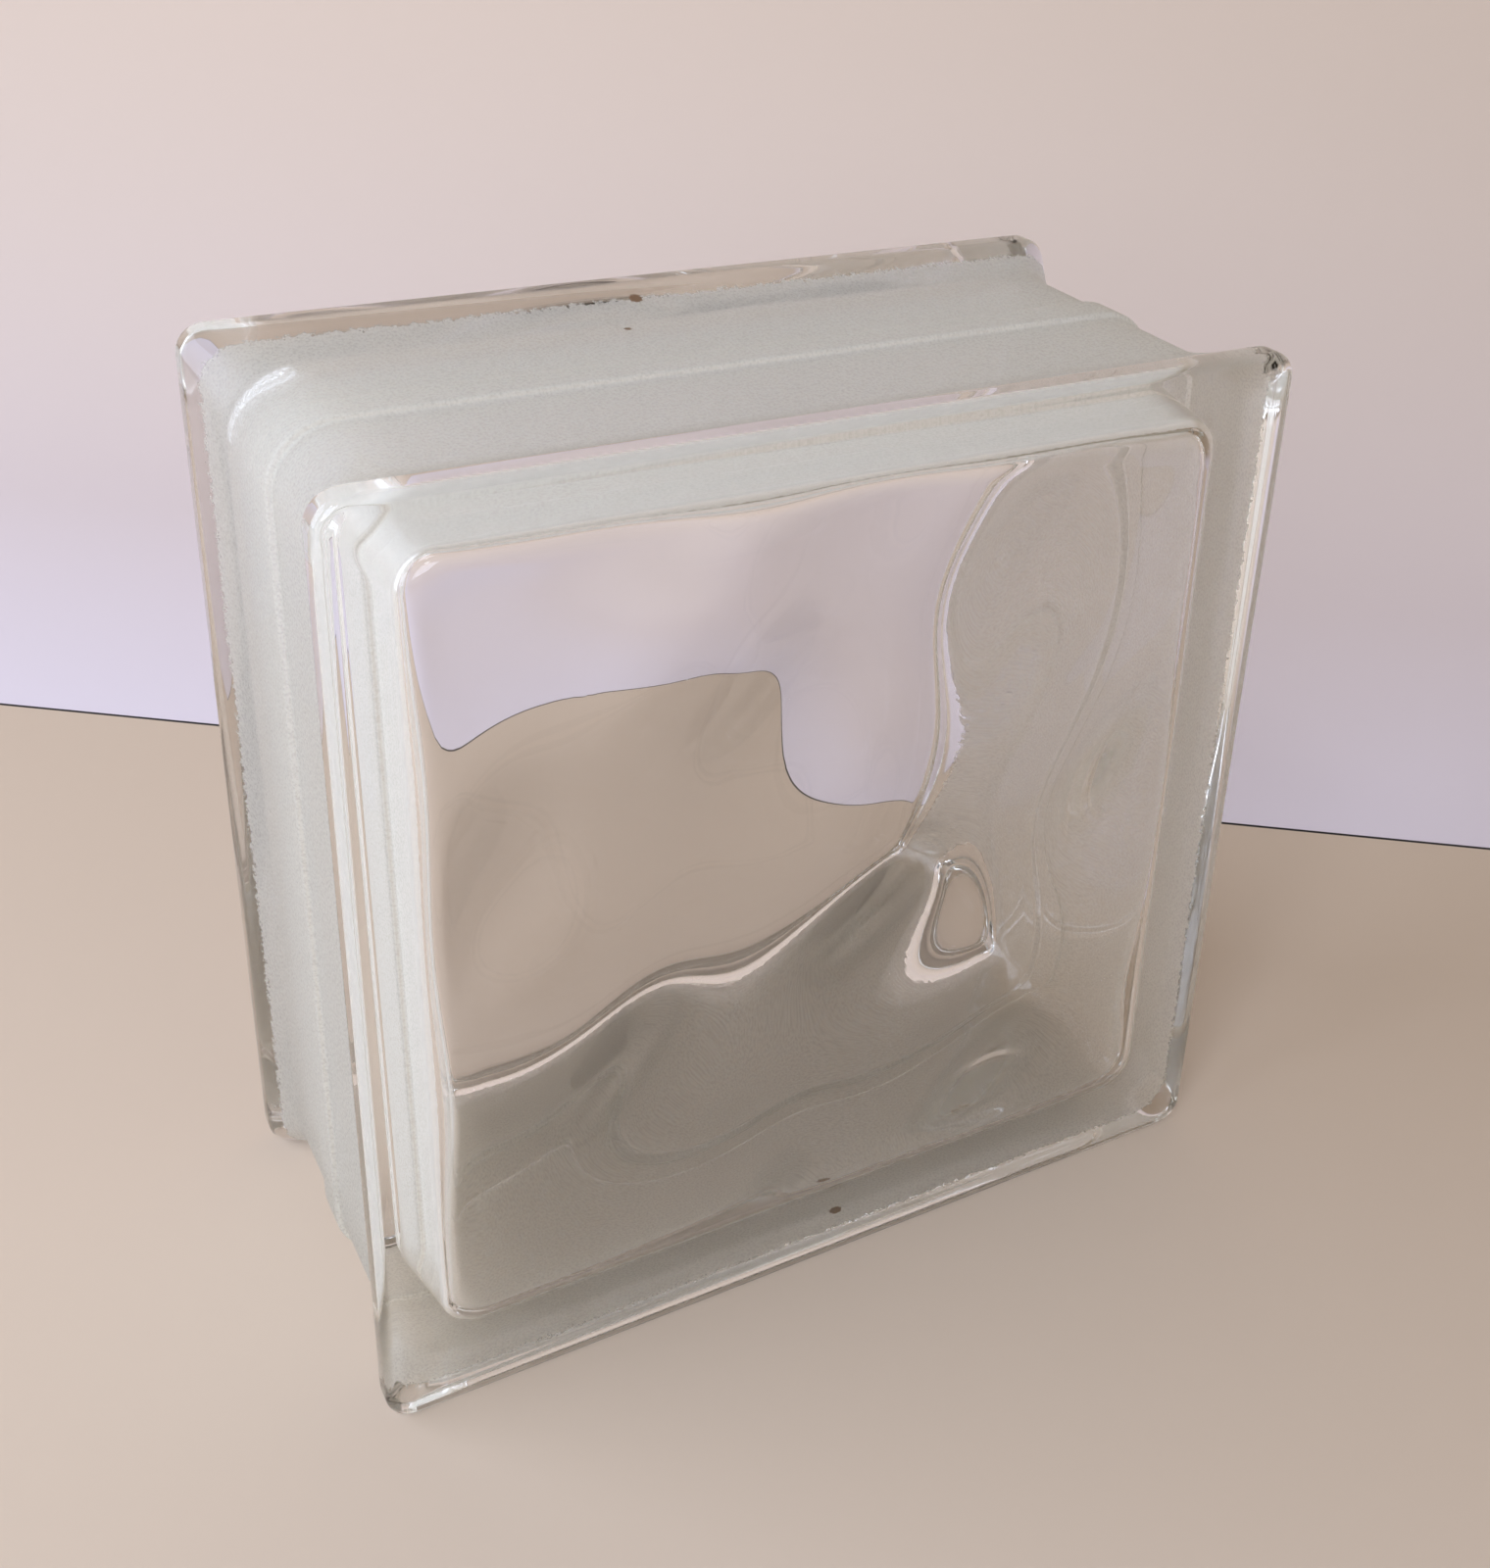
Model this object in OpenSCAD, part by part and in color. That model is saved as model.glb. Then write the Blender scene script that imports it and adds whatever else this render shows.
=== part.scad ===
// Hollow glass block for walls, of the 8 by 8 by 4 inch kind.
// Two glass half shells are pressed and then fused along a seam at mid depth,
// so the finished block is one piece of glass round one sealed, dry hollow.
// X runs across the face, Y from the front pane to the back one, and Z up.
// The origin is under the middle of the block, on the level that it stands on.

/* [Face lips] */
// Width and height across the face lips
face_w = 197; // [190:1:200]
// Depth from the front face to the back one
block_d = 95; // [92:1:100]
// Thickness of each face lip, along the depth
lip_t = 6; // [4:0.5:7]
// Corner radius of the face lips
lip_r = 6; // [4:0.5:8]
// Rounding along the face's own edge
face_edge_r = 2; // [1:0.25:2.5]

/* [Mortar channels] */
// Depth of the channels below the face lips
channel_drop = 4.2; // [3:0.2:6]
// Length of the hollow slope from a lip down to its channel
slope_t = 14; // [8:1:18]
// Corner radius of the channels
channel_r = 12; // [10:1:16]

/* [Fused seam] */
// Width of the raised seam between the two half shells
seam_w = 9; // [6:0.5:12]
// Height of the seam above the channels
seam_h = 1.2; // [0.8:0.2:2]
// Rounding along the seam's edges
seam_edge_r = 0.6; // [0.3:0.1:0.8]

/* [Hollow] */
// Mean thickness of the two panes
pane_t = 8; // [7:0.5:10]
// Distance from a lip's outer side to the hollow, beside a pane
hollow_margin = 13.5; // [12:0.5:16]
// How much wider each side of the hollow is at the seam than at a pane
hollow_draft = 3; // [0.5:0.25:4]
// Corner radius of the hollow, seen from the front
hollow_r = 8; // [6:1:12]
// Radius where a pane turns into the side walls
hollow_fillet = 5; // [3:0.5:7]

/* [Waves] */
// Scale of the waves pressed into the inner face of each pane
wave_scale = 1; // [0.5:0.1:1.2]

/* [Hidden] */
$fn = 48;

face_half = face_w / 2;
depth_half = block_d / 2;
channel_half = face_half - channel_drop;
channel_end = depth_half - lip_t - slope_t;
hollow_half = face_half - hollow_margin;
overlap = 0.5;
slope_steps = 3;

// A wave train is its height in mm, its length in mm, the heading of its
// crests and its phase, both in degrees.
front_waves = [
    [1.6, 92, 35, 20],
    [1.2, 64, 110, 70],
    [0.8, 47, 160, 90],
];
back_waves = [
    [2.0, 85, 60, 80],
    [1.4, 70, 150, 30],
    [0.6, 50, 15, 200],
];
// Steps of the hollow's grid from the middle to the fillet, and round the fillet
flat_steps = 12;
fillet_steps = 3;

function train(w, x, y) =
    w[0] * sin(360 * (x * cos(w[2]) + y * sin(w[2])) / w[1] + w[3]);
function swell(waves, x, y) = wave_scale * sum([for (w = waves) train(w, x, y)]);
function sum(list, i = 0) = i < len(list) ? list[i] + sum(list, i + 1) : 0;

// Shares of the hollow's half width at which its grid lines lie: even steps
// across the pane, then closer ones round the fillet.
function fillet_share(i) =
    1 - hollow_fillet * (1 - sin(90 * i / fillet_steps)) / hollow_half;
half_lines = [
    for (i = [1 : flat_steps]) fillet_share(0) * i / flat_steps,
    for (i = [1 : fillet_steps]) fillet_share(i),
];
lines = [
    for (i = [len(half_lines) - 1 : -1 : 0]) -half_lines[i],
    0,
    each half_lines,
];
last = len(lines) - 1;

// A point of a square grid, drawn in so that each ring of the grid is a
// square with round corners.
function rounded(s, t) =
    let (
        ring = max(abs(s), abs(t)),
        flat = (hollow_half - hollow_r) * ring,
        r = hollow_r * ring,
        far = hollow_half * min(abs(s), abs(t)),
        turn = r > 0 ? 45 * max(0, far - flat) / r : 0,
        long_side = flat + r * cos(turn),
        short_side = far > flat ? flat + r * sin(turn) : far,
        wide = abs(s) >= abs(t)
    )
    [sign(s) * (wide ? long_side : short_side),
     sign(t) * (wide ? short_side : long_side)];

// How far the hollow's end rises towards the seam as it nears a side wall
function fillet_rise(s, t) =
    let (
        gap = hollow_half * (1 - max(abs(s), abs(t))),
        into = max(0, hollow_fillet - gap)
    )
    hollow_fillet - sqrt(max(0, hollow_fillet ^ 2 - into ^ 2));

// The waves die out where the fillet begins to turn
function calm(s, t) =
    let (gap = hollow_half * (1 - max(abs(s), abs(t))) / (2 * hollow_fillet))
    sin(90 * min(1, gap));

function end_point(side, waves, s, t) =
    let (
        p = rounded(s, t),
        flat_z = depth_half - pane_t,
        z = flat_z - fillet_rise(s, t) + calm(s, t) * swell(waves, p[0], p[1])
    )
    [p[0], p[1], side * z];

// The edge of the grid, once round, as pairs of grid line numbers
edge = [
    for (i = [0 : last - 1]) [i, 0],
    for (i = [0 : last - 1]) [last, i],
    for (i = [last : -1 : 1]) [i, last],
    for (i = [last : -1 : 1]) [0, i],
];

module hollow() {
    count = last + 1;
    front = [for (t = lines) for (s = lines) end_point(1, front_waves, s, t)];
    back = [for (t = lines) for (s = lines) end_point(-1, back_waves, s, t)];
    widen = (hollow_half + hollow_draft) / hollow_half;
    seam = [
        for (e = edge)
            let (p = rounded(lines[e[0]], lines[e[1]]) * widen) [p[0], p[1], 0]
    ];
    back_start = len(front);
    seam_start = 2 * len(front);
    front_cells = [
        for (j = [0 : last - 1]) for (i = [0 : last - 1])
            let (a = j * count + i) each [
                [a, a + count, a + 1],
                [a + 1, a + count, a + count + 1],
            ]
    ];
    back_cells = [
        for (f = front_cells)
            [f[0] + back_start, f[2] + back_start, f[1] + back_start]
    ];
    walls = [
        for (i = [0 : len(edge) - 1])
            let (
                j = (i + 1) % len(edge),
                f0 = edge[i][1] * count + edge[i][0],
                f1 = edge[j][1] * count + edge[j][0],
                s0 = seam_start + i,
                s1 = seam_start + j
            ) each [
                [f0, f1, s0], [f1, s1, s0],
                [s0, s1, f0 + back_start], [s1, f1 + back_start, f0 + back_start],
            ]
    ];
    polyhedron(
        points = concat(front, back, seam),
        faces = concat(front_cells, back_cells, walls),
        convexity = 4
    );
}

// Sweeps a section once round a square with round corners. The section's X
// is the distance out from the corners' centres and its Y is the depth.
module round_square_sweep(half, r) {
    for (a = [0 : 90 : 270]) {
        rotate([0, 0, a])
            translate([half - r, half - r, 0]) {
                rotate_extrude(angle = 90) children();
                rotate([90, 0, 0]) linear_extrude(2 * (half - r)) children();
            }
    }
}

module core(half, z0, z1) {
    translate([-half, -half, z0]) cube([2 * half, 2 * half, z1 - z0]);
}

// A thin plate with round corners, for one step of a slope
module plate(half, r, z) {
    translate([0, 0, z])
        linear_extrude(0.01) {
            square([2 * half, 2 * (half - r)], center = true);
            square([2 * (half - r), 2 * half], center = true);
            for (x = [-1, 1]) for (y = [-1, 1])
                translate([x, y] * (half - r)) circle(r, $fn = 32);
        }
}

module lip_section() {
    square([lip_r - face_edge_r, lip_t]);
    square([lip_r, lip_t - face_edge_r]);
    translate([lip_r - face_edge_r, lip_t - face_edge_r]) circle(face_edge_r);
}

module lip() {
    translate([0, 0, depth_half - lip_t]) {
        round_square_sweep(face_half, lip_r) lip_section();
        core(face_half - lip_r + overlap, 0, lip_t);
    }
}

// The slope is a hollow curve, steep beside the lip and level at the channel.
// Its corners open out from the lip's radius to the channel's.
module slope_plate(step) {
    share = step / slope_steps;
    plate(
        face_half - channel_drop * sin(90 * share),
        lip_r + (channel_r - lip_r) * share,
        depth_half - lip_t - slope_t * share
    );
}

module slope() {
    for (step = [1 : slope_steps])
        hull() {
            slope_plate(step - 1);
            slope_plate(step);
        }
}

module side_section() {
    top = channel_r + seam_h;
    translate([0, -channel_end]) square([channel_r, 2 * channel_end]);
    translate([0, -seam_w / 2 + seam_edge_r])
        square([top, seam_w - 2 * seam_edge_r]);
    translate([0, -seam_w / 2]) square([top - seam_edge_r, seam_w]);
    for (side = [-1, 1])
        translate([top - seam_edge_r, side * (seam_w / 2 - seam_edge_r)])
            circle(seam_edge_r);
}

module middle() {
    round_square_sweep(channel_half, channel_r) side_section();
    core(channel_half - channel_r + overlap, -channel_end, channel_end);
}

module glass_block() {
    color([0.86, 0.93, 0.9])
        translate([0, 0, face_half])
            rotate([90, 0, 0])
                difference() {
                    union() {
                        middle();
                        for (side = [0, 1])
                            mirror([0, 0, side]) {
                                lip();
                                slope();
                            }
                    }
                    hollow();
                }
}

glass_block();
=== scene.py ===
# %% [markdown]
# # A hollow glass block
# A glass block starts as two square half shells, like two deep baking dishes.
# Each is pressed from a gob of molten soda-lime glass, and the two rims are
# then melted together, so the finished block is one piece of glass round one
# sealed hollow. Light passes it, but the waves pressed into the inner face of
# each pane bend the view.
#
# This lesson builds the block as one fine mesh, gives it glass that really
# bends light, and sets it on a pale floor in soft light.

import math

import bmesh
import bpy
from mathutils import Matrix, Vector


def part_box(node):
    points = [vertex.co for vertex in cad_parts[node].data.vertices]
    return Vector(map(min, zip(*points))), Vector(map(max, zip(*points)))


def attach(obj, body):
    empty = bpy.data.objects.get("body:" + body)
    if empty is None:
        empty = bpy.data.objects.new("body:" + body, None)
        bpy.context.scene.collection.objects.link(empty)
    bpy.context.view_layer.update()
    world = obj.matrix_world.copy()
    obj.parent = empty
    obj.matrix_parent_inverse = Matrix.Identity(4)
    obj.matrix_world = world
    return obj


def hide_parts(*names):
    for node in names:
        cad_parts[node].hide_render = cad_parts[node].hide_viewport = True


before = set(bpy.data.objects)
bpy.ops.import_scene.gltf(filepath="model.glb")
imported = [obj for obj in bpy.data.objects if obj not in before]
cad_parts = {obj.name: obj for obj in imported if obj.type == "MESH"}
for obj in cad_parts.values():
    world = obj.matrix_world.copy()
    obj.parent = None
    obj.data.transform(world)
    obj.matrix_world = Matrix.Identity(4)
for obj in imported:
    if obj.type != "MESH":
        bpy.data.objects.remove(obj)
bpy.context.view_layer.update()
# The frame is in metres. Every length of the block below is in millimetres.
MM = 0.001
low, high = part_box("glass_block")
face_half = (high.x - low.x) / 2 / MM
depth_half = (high.y - low.y) / 2 / MM
middle_z = (high.z + low.z) / 2 / MM
print(f"block: {2 * face_half:.0f} mm across, {2 * depth_half:.0f} mm deep")

# %% [markdown]
# ## Colours
# A colour picker shows sRGB values, such as #E6DCD2, but light adds up in
# linear values. One function turns the first into the second, so that every
# colour below can be read as a hex value.

# %% Turn a hex colour to linear
def linear(hex_colour):
    """The linear red, green, blue and alpha of an sRGB hex colour."""
    shares = [int(hex_colour[i:i + 2], 16) / 255 for i in (1, 3, 5)]
    light = [s / 12.92 if s <= 0.04045 else ((s + 0.055) / 1.055) ** 2.4 for s in shares]
    return (*light, 1.0)


print("warm white in linear values:", [round(v, 3) for v in linear("#E6DCD2")])

# %% [markdown]
# ## Square rings with round corners
# Every section of the block, outside and inside, is a square with round
# corners. A stack of circles could be lofted with a curve tool, but a square
# ring needs the same number of points at each level, or its faces twist.
# So one square grid is used at every level. A place on the grid is s and t,
# from -1 to 1, and a function turns it into a point of a round-cornered
# square of any size. The grid's edge makes the side walls, and its inside
# makes the two faces, without a pole of thin triangles in the middle.

# %% A point on a round-cornered square
def ring_point(s, t, half, radius, bend_from):
    """The point for grid place s, t. Places past bend_from lie on a corner's arc."""
    ring = max(abs(s), abs(t))
    if ring == 0:
        return 0.0, 0.0
    along = min(abs(s), abs(t)) / ring
    flat = (half - radius) * ring
    if along <= bend_from:
        far, near = half * ring, flat * along / bend_from
    else:
        angle = math.pi / 4 * (along - bend_from) / (1 - bend_from)
        far = flat + radius * ring * math.cos(angle)
        near = flat + radius * ring * math.sin(angle)
    across, up = (far, near) if abs(s) >= abs(t) else (near, far)
    return math.copysign(across, s), math.copysign(up, t)


# %% Grid lines, and the places round a grid's edge
def evenly(start, end, steps):
    """The values that even steps from start reach, up to end."""
    return [start + (end - start) * i / steps for i in range(1, steps + 1)]


def mirrored(positive):
    """Grid lines on both sides of a line through the middle."""
    return [-p for p in reversed(positive)] + [0.0] + positive


def grid_edge(last):
    """The grid places once round its edge, as pairs of line numbers."""
    return (
        [(i, 0) for i in range(last)]
        + [(last, i) for i in range(last)]
        + [(i, last) for i in range(last, 0, -1)]
        + [(0, i) for i in range(last, 0, -1)]
    )


# %% [markdown]
# ## The skin's section
# Seen from the side, each face has a lip round it. Behind the lip the side
# falls away in a hollow slope to a shallow channel, which holds the mortar
# between two blocks. The two halves were fused at mid depth, and the melted
# rims stand up there as a low seam with rounded edges and feet.
#
# The section is a list of levels. Each level gives how far it lies below the
# lip, its corner radius and its distance from mid depth. The half from the
# front face to the seam is made once, and mirrored for the back.

# %% The levels from the face to the lip's back
LIP_T, LIP_R = 6.0, 6.0
FACE_EDGE_R, FACE_EDGE_STEPS = 2.0, 6
# Two close levels, as inset and distance before the lip's back, hold its edge crisp
LIP_BACK_LEVELS = ((0.0, 1.2), (0.03, 0.4))
lip_back = depth_half - LIP_T


def arc(steps):
    """Sine and cosine along a quarter turn, in even steps."""
    turns = [math.radians(90 * i / steps) for i in range(steps + 1)]
    return [(math.sin(a), math.cos(a)) for a in turns]


def lip_levels():
    """From the face, round its edge, to the lip's back."""
    levels = []
    for sine, cosine in arc(FACE_EDGE_STEPS):
        inset = FACE_EDGE_R * (1 - sine)
        levels.append((inset, LIP_R - inset, depth_half - FACE_EDGE_R * (1 - cosine)))
    for inset, before in LIP_BACK_LEVELS:
        levels.append((inset, LIP_R, lip_back + before))
    return levels


# %% The levels of the slope and the channel
SLOPE_T, SLOPE_STEPS = 14.0, 12
CHANNEL_DROP, CHANNEL_R = 4.2, 12.0
# Levels on the channel's floor, as shares of the way to the seam
CHANNEL_SHARES = (0.3, 0.6, 0.9)
SEAM_HALF, SEAM_FOOT_R = 4.5, 0.9
slope_end = lip_back - SLOPE_T
floor_end = SEAM_HALF + SEAM_FOOT_R


def channel_levels():
    """Down the hollow slope, and along the channel's floor."""
    levels = []
    for step in range(1, SLOPE_STEPS + 1):
        share = step / SLOPE_STEPS
        inset = CHANNEL_DROP * math.sin(math.pi / 2 * share)
        radius = LIP_R + (CHANNEL_R - LIP_R) * share
        levels.append((inset, radius, lip_back - SLOPE_T * share))
    for share in CHANNEL_SHARES:
        levels.append((CHANNEL_DROP, CHANNEL_R, slope_end + (floor_end - slope_end) * share))
    return levels


# %% The levels of the seam, and the whole section
SEAM_H, SEAM_EDGE_R, SEAM_STEPS = 1.2, 0.6, 4
# The foot rises by this share of its radius
FOOT_RISE = 0.6
# Half the width of the seam's top that has hardly any coat
SEAM_BARE = 3.2
seam_top = CHANNEL_DROP - SEAM_H


def seam_levels():
    """Up the seam's foot and round its edge, to the bare strip on its top."""
    levels = []
    for sine, cosine in arc(SEAM_STEPS):
        foot = SEAM_FOOT_R * (1 - cosine) * FOOT_RISE
        levels.append((CHANNEL_DROP - foot, CHANNEL_R + foot, floor_end - SEAM_FOOT_R * sine))
    for sine, cosine in arc(SEAM_STEPS):
        inset = seam_top + SEAM_EDGE_R * (1 - sine)
        radius = CHANNEL_R + CHANNEL_DROP - inset
        levels.append((inset, radius, SEAM_HALF - SEAM_EDGE_R * (1 - cosine)))
    levels.append((seam_top, CHANNEL_R + SEAM_H, SEAM_BARE))
    return levels


half_section = lip_levels() + channel_levels() + seam_levels()
skin_levels = [(inset, radius, -depth) for inset, radius, depth in half_section] + half_section[::-1]
print(f"skin section: {len(skin_levels)} levels")

# %% [markdown]
# ## The waves
# The plunger that pressed each half shell was carved with soft swells, so the
# inner face of each pane rises and falls by up to about 4 millimetres, while
# the outer face stays flat. Each pane then works as a set of weak lenses. A
# swell is a sine wave with a height, a length, a heading and a phase, and a
# few of them add up to a pattern that doesn't repeat within the pane.

# %% The height of the waves at a point of a pane
# A swell is its height and length in mm, and its heading and phase in degrees
FRONT_WAVES = [
    (1.6, 92, 35, 20),
    (1.2, 64, 110, 70),
    (0.8, 47, 160, 90),
]
BACK_WAVES = [
    (2.0, 85, 60, 80),
    (1.4, 70, 150, 30),
    (0.6, 50, 15, 200),
]


def swell(waves, across, up):
    """How far the swells push the hollow's end into the pane at a point."""
    total = 0.0
    for height, length, heading, phase in waves:
        turn = math.radians(heading)
        along = across * math.cos(turn) + up * math.sin(turn)
        total += height * math.sin(2 * math.pi * along / length + math.radians(phase))
    return total


print(f"waves: {len(FRONT_WAVES)} swells in the front pane, {len(BACK_WAVES)} in the back one")

# %% [markdown]
# ## The hollow
# The hollow has a wavy end at each pane, a small fillet where the pane turns
# into the side walls, and walls that lean out a little towards the seam, so
# that the plunger could be drawn out of the glass. Where the two rims melted
# together they left a low bead on the inside too.

# %% The hollow's end
PANE_T, HOLLOW_MARGIN = 8.0, 13.5
HOLLOW_R, HOLLOW_FILLET = 8.0, 5.0
hollow_half = face_half - HOLLOW_MARGIN
end_depth = depth_half - PANE_T


def hollow_end(side, waves, bend_from):
    """A function that gives the point of the hollow's end for a grid place."""
    def point(s, t):
        across, up = ring_point(s, t, hollow_half, HOLLOW_R, bend_from)
        gap = hollow_half * (1 - max(abs(s), abs(t)))
        into = max(0.0, HOLLOW_FILLET - gap)
        rise = HOLLOW_FILLET - math.sqrt(max(0.0, HOLLOW_FILLET ** 2 - into ** 2))
        calm = math.sin(math.pi / 2 * min(1.0, gap / (2 * HOLLOW_FILLET)))
        depth = end_depth - rise + calm * swell(waves, across, up)
        return across, side * depth, up
    return point


print(f"hollow: {2 * hollow_half:.0f} mm across at the panes, {2 * end_depth:.0f} mm deep")

# %% The hollow's walls, with the bead at mid depth
WALL_STEPS = 6
BEAD_H, BEAD_HALF, BEAD_STEPS = 1.7, 2.6, 8
wall_end = end_depth - HOLLOW_FILLET
half_wall = [(0.0, depth) for depth in evenly(wall_end, BEAD_HALF, WALL_STEPS)[:-1]]
for step in range(BEAD_STEPS, -1, -1):
    bead = BEAD_H * (1 + math.cos(math.pi * step / BEAD_STEPS)) / 2
    half_wall.append((bead, BEAD_HALF * step / BEAD_STEPS))
hollow_levels = [(bead, -depth) for bead, depth in half_wall[:-1]] + half_wall[::-1]
print(f"hollow section: {len(hollow_levels)} levels")

# %% [markdown]
# ## One closed surface from a grid and its levels
# Both the skin and the hollow are a front sheet, a back sheet and a wall
# between them. bmesh is used because it can make the faces, turn them all the
# same way and flip the hollow's, whose faces look into the hollow: a
# renderer takes the side that a face looks to as air.

# %% Build a closed surface
def closed_surface(lines, front, back, levels):
    """front and back give a point for a grid place, and each level does for a place on the edge."""
    mesh = bmesh.new()
    edge = grid_edge(len(lines) - 1)

    def sheet(point):
        """Make a sheet of faces, and give the points round its edge."""
        rows = [[mesh.verts.new(point(s, t)) for s in lines] for t in lines]
        for row, above in zip(rows, rows[1:]):
            for i in range(len(lines) - 1):
                mesh.faces.new((row[i], row[i + 1], above[i + 1], above[i]))
        return [rows[j][i] for i, j in edge]

    first_ring, last_ring = sheet(front), sheet(back)
    rings = [first_ring]
    for level in levels:
        rings.append([mesh.verts.new(level(lines[i], lines[j])) for i, j in edge])
    rings.append(last_ring)
    for ring, following in zip(rings, rings[1:]):
        for i in range(len(edge)):
            j = (i + 1) % len(edge)
            mesh.faces.new((ring[i], ring[j], following[j], following[i]))
    bmesh.ops.recalc_face_normals(mesh, faces=mesh.faces)
    return mesh


# %% Build the skin
# Grid lines from the middle to where a corner bends, and from there to its 45 degrees
FACE_LINES, CORNER_LINES = 24, 6
skin_bend = 1 - LIP_R / face_half
skin_lines = mirrored(evenly(0.0, skin_bend, FACE_LINES) + evenly(skin_bend, 1, CORNER_LINES))


def skin_level(inset, radius, depth):
    """A function that gives the skin's point at this level for a grid place."""
    def point(s, t):
        across, up = ring_point(s, t, face_half - inset, radius, skin_bend)
        return across, depth, up
    return point


skin = closed_surface(
    skin_lines,
    skin_level(*skin_levels[0]),
    skin_level(*skin_levels[-1]),
    [skin_level(*level) for level in skin_levels[1:-1]],
)
print(f"skin: {len(skin.faces)} faces")

# %% Build the hollow
HOLLOW_DRAFT = 3.0
# The waves need close lines, and the fillet closer ones
WAVE_LINES, BORDER_LINES, FILLET_LINES = 54, 3, 8
hollow_bend = 1 - HOLLOW_R / hollow_half
fillet_from = 1 - HOLLOW_FILLET / hollow_half
hollow_lines = mirrored(
    evenly(0.0, hollow_bend, WAVE_LINES)
    + evenly(hollow_bend, fillet_from, BORDER_LINES)
    + [1 - (1 - fillet_from) * (1 - sine) for sine, cosine in arc(FILLET_LINES)[1:]]
)


def hollow_level(bead, depth):
    """A function that gives the hollow's point at this level for a grid place."""
    def point(s, t):
        draft = HOLLOW_DRAFT * (1 - abs(depth) / wall_end) - bead
        across, up = ring_point(s, t, hollow_half + draft, HOLLOW_R + draft, hollow_bend)
        return across, depth, up
    return point


hollow = closed_surface(
    hollow_lines,
    hollow_end(-1, FRONT_WAVES, hollow_bend),
    hollow_end(1, BACK_WAVES, hollow_bend),
    [hollow_level(*level) for level in hollow_levels],
)
bmesh.ops.reverse_faces(hollow, faces=hollow.faces)
print(f"hollow: {len(hollow.faces)} faces")

# %% [markdown]
# ## Where the frosted coat lies
# The maker sprays the channels with a thin, whitish coat that mortar sticks
# to. It has no thickness to speak of, so it is a finish and not a shape. The
# mesh carries a number at each point, coat_inside: how many millimetres the
# point lies inside the coat's edge. The seam's top gets a value just outside
# it, so that only specks of the coat show there. The glass finish reads the
# number below, adds noise to it, and so gets the coat's ragged edge.

# %% Join the two surfaces and store the coat
# How far from mid depth the coat ends, which is on the hollow slope
COAT_END = 37.0
# coat_inside on the bare glass, and on the seam's top
UNCOATED, THIN_COAT = -20.0, -1.5
# A little more than a channel's round corner draws in from its sides
CORNER_MARGIN = 4.0


def joined(surfaces):
    """One mesh from the skin and the hollow, in metres and in the frame's place."""
    whole = bmesh.new()
    inside = whole.verts.layers.float.new("coat_inside")
    for number, surface in enumerate(surfaces):
        places = {}
        for vert in surface.verts:
            x, y, z = vert.co
            made = whole.verts.new((x * MM, y * MM, (z + middle_z) * MM))
            on_side = max(abs(x), abs(z)) > face_half - CHANNEL_DROP - CORNER_MARGIN
            made[inside] = UNCOATED
            if number == 0 and on_side:
                made[inside] = THIN_COAT if abs(y) <= SEAM_BARE else COAT_END - abs(y)
            places[vert] = made
        for face in surface.faces:
            whole.faces.new([places[v] for v in face.verts]).smooth = True
        surface.free()
    mesh = bpy.data.meshes.new("pressed_glass")
    whole.to_mesh(mesh)
    whole.free()
    return mesh


glass_mesh = joined([skin, hollow])
block = bpy.data.objects.new("pressed_glass", glass_mesh)
bpy.context.scene.collection.objects.link(block)
print(f"glass mesh: {len(glass_mesh.polygons) * 2} triangles")

# %% [markdown]
# ## A helper for nodes
# A finish is a graph of nodes. This function adds one node, sets the values
# it is given and links the sockets it is given.

# %% Add a node
def add_node(tree, kind, settings=None, links=None, **options):
    """settings and links are by input name or number; options are the node's own properties."""
    node = tree.nodes.new(kind)
    for name, value in options.items():
        setattr(node, name, value)
    for name, value in (settings or {}).items():
        node.inputs[name].default_value = value
    for name, source in (links or {}).items():
        tree.links.new(source, node.inputs[name])
    return node


def new_material(name):
    """A material with no nodes yet, and its node tree."""
    material = bpy.data.materials.new(name)
    material.use_nodes = True
    material.node_tree.nodes.clear()
    return material, material.node_tree


# %% [markdown]
# ## Pressed soda-lime glass with a frosted edge coat
# Clear soda-lime glass has an IOR of 1.52 and, through its iron, a faint
# green colour that shows only over a long path. So the colour is a Volume
# Absorption inside the mesh and not a tint of the surface.
#
# The coat is made in the same material, because a volume has to have one
# material all round it. Where coat_inside is above zero, the surface gets
# rough and partly white, which is what a thin sprayed layer does to light.
# The grains of a real spray are finer than the 0.6 mm used here, but those
# wouldn't show.

# %% Where the coat covers the glass
# Millimetres: how far noise moves the coat's edge, how long the bites in it
# are, and the width over which the coat sets in
COAT_EDGE_RAG, RAG_SIZE = 2.4, 1.4
EDGE_FROM, EDGE_TO = -0.2, 0.4
COAT_GRAIN = 0.6
# The coat is thinnest below one value of its grain, and full above the other
THIN_BELOW, FULL_ABOVE, THINNEST = 0.36, 0.56, 0.8

glass, tree = new_material("pressed_soda_lime_glass_with_sprayed_coat")
place = add_node(tree, "ShaderNodeTexCoord").outputs["Object"]
inside = add_node(tree, "ShaderNodeAttribute", attribute_name="coat_inside").outputs["Fac"]
rag = add_node(
    tree, "ShaderNodeTexNoise", {"Scale": 1 / (RAG_SIZE * MM), "Detail": 3.0, "Roughness": 0.7},
    {"Vector": place},
)
ragged = add_node(
    tree, "ShaderNodeMath", {1: 2 * COAT_EDGE_RAG}, {0: rag.outputs["Fac"], 2: inside},
    operation="MULTIPLY_ADD",
)
coat = add_node(
    tree, "ShaderNodeMapRange",
    {"From Min": COAT_EDGE_RAG + EDGE_FROM, "From Max": COAT_EDGE_RAG + EDGE_TO},
    {"Value": ragged.outputs[0]},
)
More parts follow.
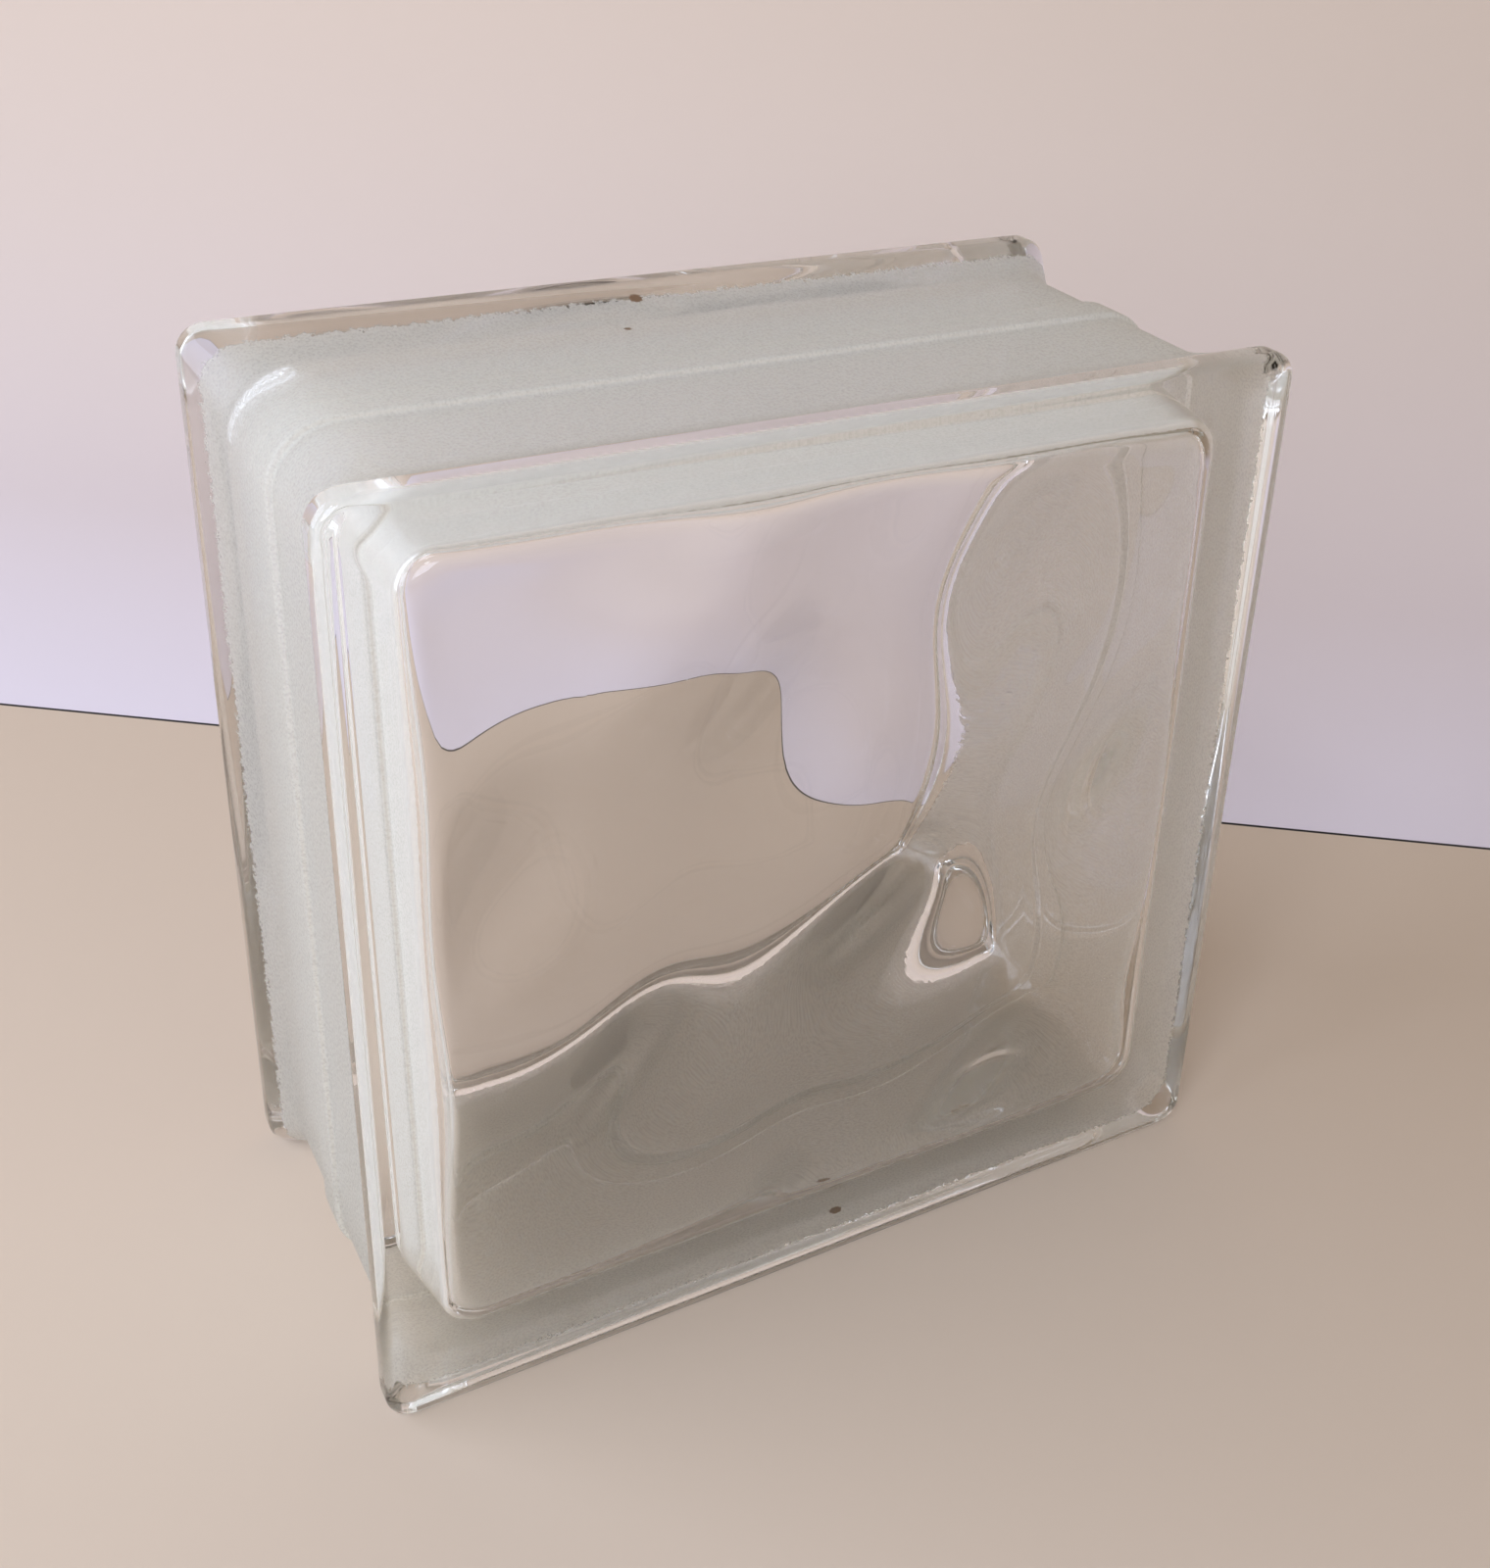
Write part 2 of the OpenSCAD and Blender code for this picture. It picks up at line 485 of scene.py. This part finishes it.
grain = add_node(
    tree, "ShaderNodeTexNoise", {"Scale": 1 / (COAT_GRAIN * MM), "Detail": 4.0, "Roughness": 0.6},
    {"Vector": place},
)
thin_spots = add_node(
    tree, "ShaderNodeMapRange", {"From Min": THIN_BELOW, "From Max": FULL_ABOVE, "To Min": THINNEST},
    {"Value": grain.outputs["Fac"]},
)
cover = add_node(
    tree, "ShaderNodeMath", None, {0: coat.outputs[0], 1: thin_spots.outputs[0]}, operation="MULTIPLY",
)
print(f"coat: ends {COAT_END:.0f} mm from mid depth, give or take {COAT_EDGE_RAG} mm")

# %% The clear glass, the coat and their mix
GLASS_IOR = 1.52
COAT_COLOUR = "#FEFFF8"
GRAIN_DEPTH = 0.06
MILK_SHARE = 0.5

clear_glass = add_node(
    tree, "ShaderNodeBsdfPrincipled",
    {"Base Color": linear("#FFFFFF"), "IOR": GLASS_IOR, "Transmission Weight": 1.0, "Roughness": 0.0},
)
bump = add_node(
    tree, "ShaderNodeBump", {"Distance": GRAIN_DEPTH * MM, "Strength": 1.0},
    {"Height": grain.outputs["Fac"]},
)
frost = add_node(
    tree, "ShaderNodeBsdfPrincipled",
    {"Base Color": linear(COAT_COLOUR), "IOR": GLASS_IOR, "Roughness": 0.42, "Transmission Weight": 0.45},
    {"Normal": bump.outputs[0]},
)
milk = add_node(
    tree, "ShaderNodeBsdfTranslucent", {"Color": linear(COAT_COLOUR)}, {"Normal": bump.outputs[0]},
)
spray = add_node(
    tree, "ShaderNodeMixShader", {0: MILK_SHARE}, {1: frost.outputs[0], 2: milk.outputs[0]},
)
surface = add_node(
    tree, "ShaderNodeMixShader", None,
    {0: cover.outputs[0], 1: clear_glass.outputs[0], 2: spray.outputs[0]},
)
print(f"glass: IOR {GLASS_IOR}")

# %% [markdown]
# ## Specks of dirt
# A few crumbs of old mortar and dirt have stuck to the coat, and one corner of
# the front lip has a small dark chip. They could be tiny meshes, but they are
# as flat as stains. So each is a place and a radius, in millimetres: the
# distance from the place, with a little noise added, gives a ragged spot of
# brown dirt. Dry dirt is dull and opaque, so it is rough and lets no light
# through.

# %% The specks, and the finished surface
# A speck is its place, as x, y and z, and its radius
SPECKS = [
    (-8, 37, 194.8, 1.5),
    (-15, 25, 192.8, 0.9),
    (6, -31, 3.8, 1.6),
    (-97, -47, 1.5, 1.3),
]
SPECK_RAG, SPECK_FADE = 1.2, 0.3
dirt = add_node(
    tree, "ShaderNodeBsdfPrincipled", {"Base Color": linear("#7C624A"), "Roughness": 0.85},
)
for x, y, z, radius in SPECKS:
    distance = add_node(
        tree, "ShaderNodeVectorMath", {1: Vector((x, y, z)) * MM}, {0: place}, operation="DISTANCE",
    ).outputs["Value"]
    uneven = add_node(
        tree, "ShaderNodeMath", {1: SPECK_RAG * MM}, {0: grain.outputs["Fac"], 2: distance},
        operation="MULTIPLY_ADD",
    )
    reach = (radius + SPECK_RAG / 2) * MM
    spot = add_node(
        tree, "ShaderNodeMapRange", {"From Min": reach, "From Max": reach - SPECK_FADE * MM},
        {"Value": uneven.outputs[0]},
    )
    surface = add_node(
        tree, "ShaderNodeMixShader", None, {0: spot.outputs[0], 1: surface.outputs[0], 2: dirt.outputs[0]},
    )
print(f"specks: {len(SPECKS)}")

# %% The body colour, and the block's place in the frame
volume = add_node(
    tree, "ShaderNodeVolumeAbsorption", {"Color": linear("#D8EBDE"), "Density": 1.2},
)
add_node(
    tree, "ShaderNodeOutputMaterial", None,
    {"Surface": surface.outputs[0], "Volume": volume.outputs[0]},
)
glass_mesh.materials.append(glass)
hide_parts("glass_block")
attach(block, "root")
print("the block rides on root")

# %% [markdown]
# ## The floor and the backdrop
# Glass shows what is round it, so the set matters as much as the finish. The
# floor is a pale, warm matt sheet. Behind the block, past a narrow gap, a pale
# lilac sheet goes on and sweeps up to a wall. A dark strip under the gap is
# painted shade, standing for the shadow line at the sheet's edge. The lilac
# turns warmer on its way to the wall, which is painted warm room light.
# The edge between the two is what shows how the waves bend a straight line.
# Both are matt paper, which scatters light evenly and has no gloss, so a plain
# Diffuse shader is enough.

# %% Where the sheets lie, in metres
BACK_TURN = math.radians(36.0)
SHEET_EDGE, WALL_AT, WALL_H = 0.158, 0.62, 2.4
SWEEP_R, SWEEP_STEPS = 0.3, 16
REACH = 9.0
# The gap's width, and half the width and the depth of the dark strip under it, which is painted shade
GROOVE, GAP_HALF, GAP_DROP = 0.0012, 0.01, 0.001
away = Vector((math.sin(BACK_TURN), math.cos(BACK_TURN), 0))
sideways = Vector((math.cos(BACK_TURN), -math.sin(BACK_TURN), 0))


# %% Matt paper
def matt_paper(name, hex_colour, painted_light_colour=None):
    """Matt paper. With a second colour, it fades to that from the sheet's edge to the wall, as painted
    light.
    """
    material, tree = new_material(name)
    surface = add_node(tree, "ShaderNodeBsdfDiffuse", {"Color": linear(hex_colour)})
    if painted_light_colour:
        place = add_node(tree, "ShaderNodeTexCoord").outputs["Object"]
        behind = add_node(
            tree, "ShaderNodeVectorMath", {1: away}, {0: place}, operation="DOT_PRODUCT",
        ).outputs["Value"]
        faded = add_node(
            tree, "ShaderNodeMapRange", {"From Min": SHEET_EDGE, "From Max": WALL_AT}, {"Value": behind},
        ).outputs[0]
        # Inputs 6 and 7 and output 2 are the Mix node's colours
        # Painted light: the colour warms towards the wall as if a warm room lit it
        fade = add_node(
            tree, "ShaderNodeMix", {6: linear(hex_colour), 7: linear(painted_light_colour)},
            {"Factor": faded}, data_type="RGBA",
        )
        tree.links.new(fade.outputs[2], surface.inputs["Color"])
    add_node(tree, "ShaderNodeOutputMaterial", None, {"Surface": surface.outputs[0]})
    return material


floor_paper = matt_paper("matt_warm_floor_paper", "#D8C8B6")
# The backdrop's lilac is its own colour, and its warmer far colour is painted warm room light
wall_paper_and_painted_light = matt_paper("matt_lilac_backdrop_paper_and_painted_warm_light", "#ECE7F4", "#E6D6C6")
# The dark strip in the gap is painted shade, standing for the shadow line at the sheet's edge
painted_gap_shade = matt_paper("painted_shade_in_gap_between_sheets", "#6A6462")


# %% Lay the floor, the gap and the backdrop
def strip(name, profile, material):
    """A sheet that runs sideways, through points given as distance behind the block and height."""
    points = []
    for back, up in profile:
        for side in (-REACH, REACH):
            points.append(away * back + sideways * side + Vector((0, 0, up)))
    faces = [(2 * i, 2 * i + 1, 2 * i + 3, 2 * i + 2) for i in range(len(profile) - 1)]
    mesh = bpy.data.meshes.new(name)
    mesh.from_pydata(points, [], faces)
    mesh.materials.append(material)
    for face in mesh.polygons:
        face.use_smooth = True
    piece = bpy.data.objects.new(name, mesh)
    bpy.context.scene.collection.objects.link(piece)


strip("floor", [(-REACH, 0.0), (SHEET_EDGE, 0.0)], floor_paper)
# This dark strip is painted shade
strip("gap", [(SHEET_EDGE - GAP_HALF, -GAP_DROP), (SHEET_EDGE + GAP_HALF, -GAP_DROP)], painted_gap_shade)
sweep = [
    (WALL_AT - SWEEP_R + SWEEP_R * sine, SWEEP_R * (1 - cosine)) for sine, cosine in arc(SWEEP_STEPS)
]
strip("backdrop", [(SHEET_EDGE + GROOVE, 0.0)] + sweep + [(WALL_AT, WALL_H)], wall_paper_and_painted_light)
print(f"set: the backdrop starts {SHEET_EDGE} m behind the block's middle")

# %% [markdown]
# ## Light
# The light is soft daylight: a big cool window on the left, another in front
# that shines in through the panes, and a warm room all round that is dimmer
# on the right. A small lamp adds the sharp glints on the corners.

# %% The windows and the lamp
centre = Vector((0, 0, middle_z * MM))


def area_light(name, place, size, watts, hex_colour):
    """A rectangle of light that faces the block's middle, and that the camera doesn't see."""
    data = bpy.data.lights.new(name, "AREA")
    data.shape = "RECTANGLE"
    data.size, data.size_y = size
    data.energy = watts
    data.color = linear(hex_colour)[:3]
    light = bpy.data.objects.new(name, data)
    light.location = place
    light.rotation_euler = (centre - Vector(place)).to_track_quat("-Z", "Y").to_euler()
    light.visible_camera = False
    bpy.context.scene.collection.objects.link(light)


area_light("window_left", place=(-0.8, 0.25, 0.5), size=(0.9, 0.8), watts=6.5, hex_colour="#E2EAFF")
area_light("window_front", place=(-0.6, -0.8, 0.7), size=(0.7, 0.7), watts=8.5, hex_colour="#E2EAFF")
area_light("small_lamp", place=(-0.45, -0.35, 0.85), size=(0.14, 0.07), watts=0.5, hex_colour="#FFFFFF")
print(f"lights: {len(bpy.data.lights)}")

# %% The room
ROOM_LEFT, ROOM_RIGHT = 0.355, 0.235
world = bpy.data.worlds.new("room")
world.use_nodes = True
tree = world.node_tree
tree.nodes.clear()
look = add_node(tree, "ShaderNodeTexCoord").outputs["Generated"]
look_x = add_node(tree, "ShaderNodeSeparateXYZ", None, {0: look}).outputs["X"]
dimming = add_node(
    tree, "ShaderNodeMapRange", {"From Min": -1.0, "To Min": ROOM_LEFT, "To Max": ROOM_RIGHT},
    {"Value": look_x},
)
room = add_node(
    tree, "ShaderNodeBackground", {"Color": linear("#FFF1DC")}, {"Strength": dimming.outputs[0]},
)
add_node(tree, "ShaderNodeOutputWorld", None, {"Surface": room.outputs[0]})
bpy.context.scene.world = world
print(f"room: {ROOM_LEFT} bright on the left, {ROOM_RIGHT} on the right")

# %% [markdown]
# ## Camera
# The viewer stands in front and to the left, and looks down on the block. The
# frame is taller than wide, so the lens is for its long side. A small shift
# slides the frame over the block, and leaves the perspective as it is.

# %% Place the camera
CAMERA_PLACE = Vector((-0.162, -0.313, 0.312))
AZIMUTH, DOWN, ROLL = (math.radians(a) for a in (31.9, 26.5, 3.4))
SENSOR, LENS = 36.0, 43.3
SHIFT_X, SHIFT_Y = -0.085, -0.103
NEAREST = 0.01
forward = Vector((
    math.sin(AZIMUTH) * math.cos(DOWN),
    math.cos(AZIMUTH) * math.cos(DOWN),
    -math.sin(DOWN),
))
level = Vector((math.cos(AZIMUTH), -math.sin(AZIMUTH), 0))
right = level * math.cos(ROLL) + level.cross(forward) * math.sin(ROLL)
turn = Matrix((right, right.cross(forward), -forward)).transposed()
camera_data = bpy.data.cameras.new("camera")
camera_data.sensor_width, camera_data.lens = SENSOR, LENS
camera_data.shift_x, camera_data.shift_y = SHIFT_X, SHIFT_Y
camera_data.clip_start = NEAREST
camera = bpy.data.objects.new("camera", camera_data)
camera.matrix_world = Matrix.Translation(CAMERA_PLACE) @ turn.to_4x4()
bpy.context.scene.collection.objects.link(camera)
bpy.context.scene.camera = camera
print(f"camera: {(CAMERA_PLACE - centre).length:.2f} m from the block's middle")

# %% [markdown]
# ## How the light is followed
# A view through the block crosses four glass surfaces, and a ray inside a side
# wall can bounce many times. So the paths are allowed to be long. The plain
# Standard view keeps the pale colours as they were picked.

# %% Path lengths and view
cycles = bpy.context.scene.cycles
cycles.max_bounces = 16
cycles.transmission_bounces = 16
cycles.glossy_bounces = 8
cycles.diffuse_bounces = 4
cycles.sample_clamp_indirect = 20.0
bpy.context.scene.view_settings.view_transform = "Standard"
print(f"light paths: up to {cycles.max_bounces} bounces")

# %% The end
print("scene built")
